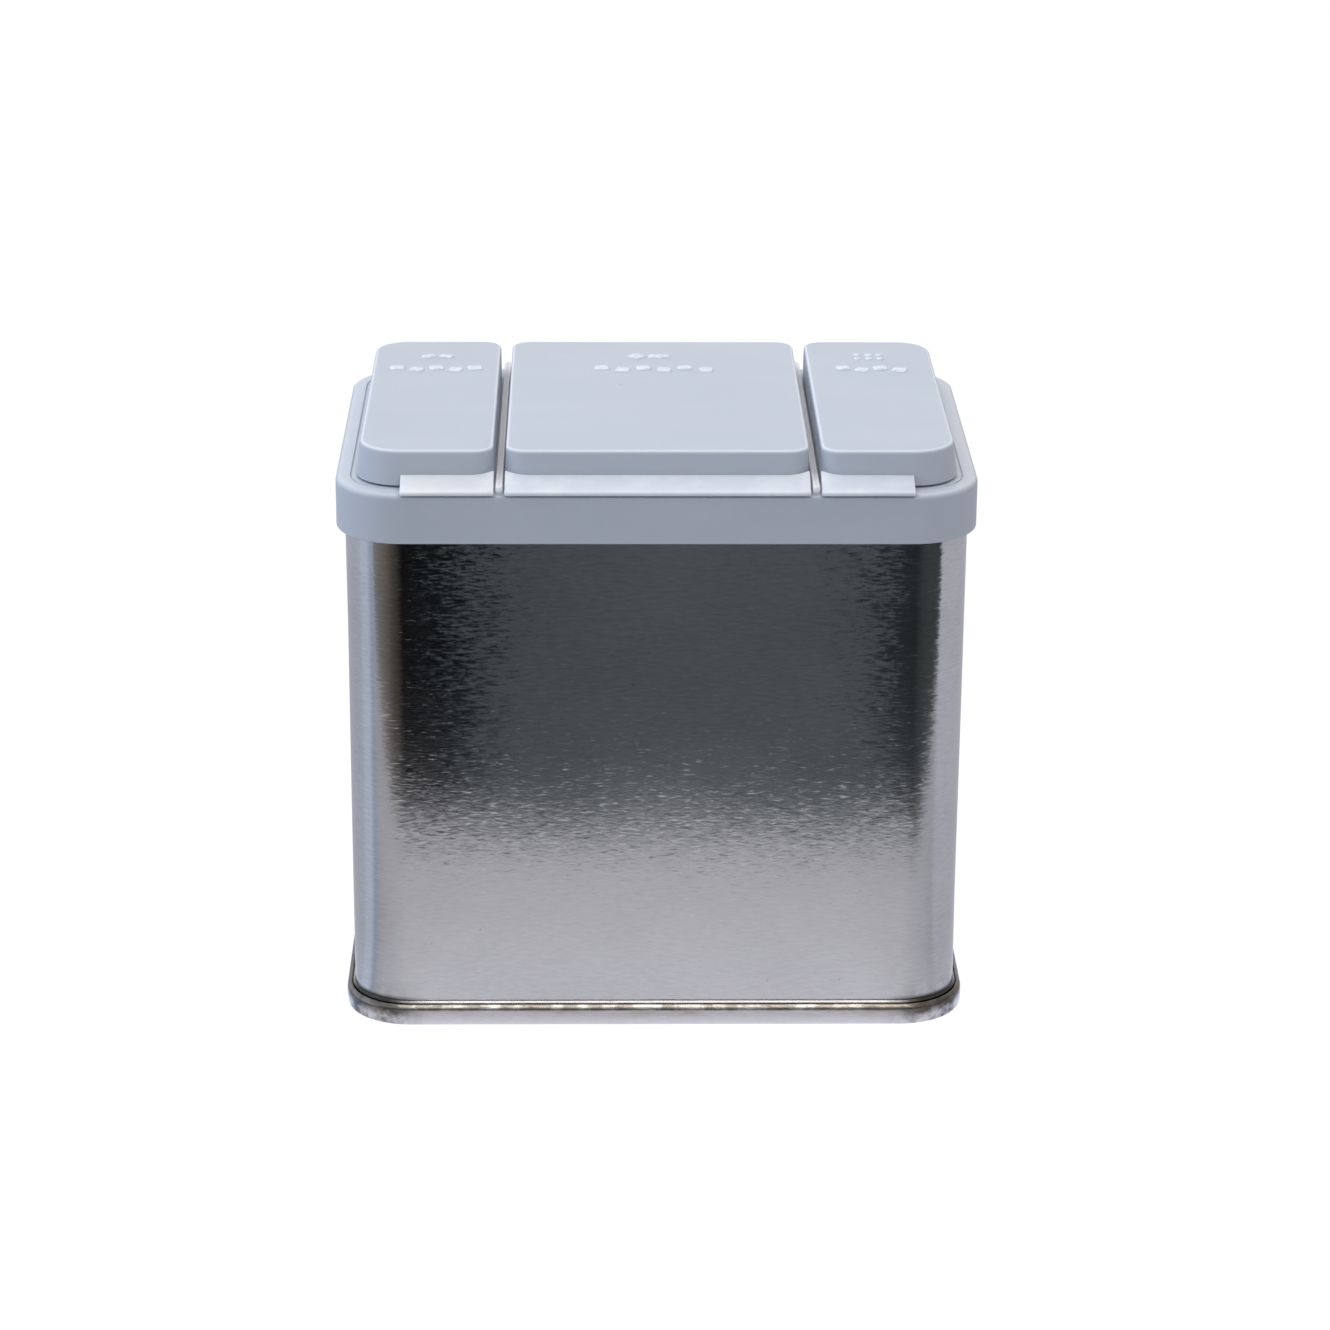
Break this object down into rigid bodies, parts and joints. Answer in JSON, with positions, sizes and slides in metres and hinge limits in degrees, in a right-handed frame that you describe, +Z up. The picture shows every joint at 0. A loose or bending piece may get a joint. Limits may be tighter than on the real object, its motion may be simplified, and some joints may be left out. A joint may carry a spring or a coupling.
{
  "type": "spice tin",
  "caption": "Rectangular tinplate canister with a double-seamed base and a press-on plastic cap whose pour, spoon and sift flaps hinge up.",
  "frame": {"origin": "centre of the base, on the plane the tin stands on", "axes": "+X along the long side, from the pour flap to the sift flap; +Y from the hinge side to the thumb side; +Z up"},
  "size_m": [0.094, 0.0666, 0.0899],
  "materials": {
    "tinplate": "bright tinplate, fine brushed grain, lightly scratched",
    "cap_plastic": "moulded polypropylene, satin, light grey",
    "leaf_plastic": "the same moulding, stretched thin and glossier"
  },
  "bodies": {
    "tin": {"body_shell": "tinplate", "bottom_end": "tinplate"},
    "cap": {"cap_frame": "cap_plastic"},
    "pour_lid": {"pour_flap": "cap_plastic", "pour_hinge_leaf": "leaf_plastic"},
    "spoon_lid": {"spoon_flap": "cap_plastic", "spoon_hinge_leaf": "leaf_plastic"},
    "sift_lid": {"sift_flap": "cap_plastic", "sift_hinge_leaf": "leaf_plastic"}
  },
  "joints": [
    {"name": "cap_lift", "type": "slide", "parent": "tin", "child": "cap", "axis": [0, 0, 1], "range_m": [0, 0.012]},
    {"name": "pour_hinge", "type": "hinge", "parent": "cap", "child": "pour_lid", "pos_m": [-0.03355, -0.03295, 0.08435], "axis": [1, 0, 0], "range_deg": [0, 150]},
    {"name": "spoon_hinge", "type": "hinge", "parent": "cap", "child": "spoon_lid", "pos_m": [0, -0.03295, 0.08435], "axis": [1, 0, 0], "range_deg": [0, 150]},
    {"name": "sift_hinge", "type": "hinge", "parent": "cap", "child": "sift_lid", "pos_m": [0.03355, -0.03295, 0.08435], "axis": [1, 0, 0], "range_deg": [0, 150]}
  ]
}
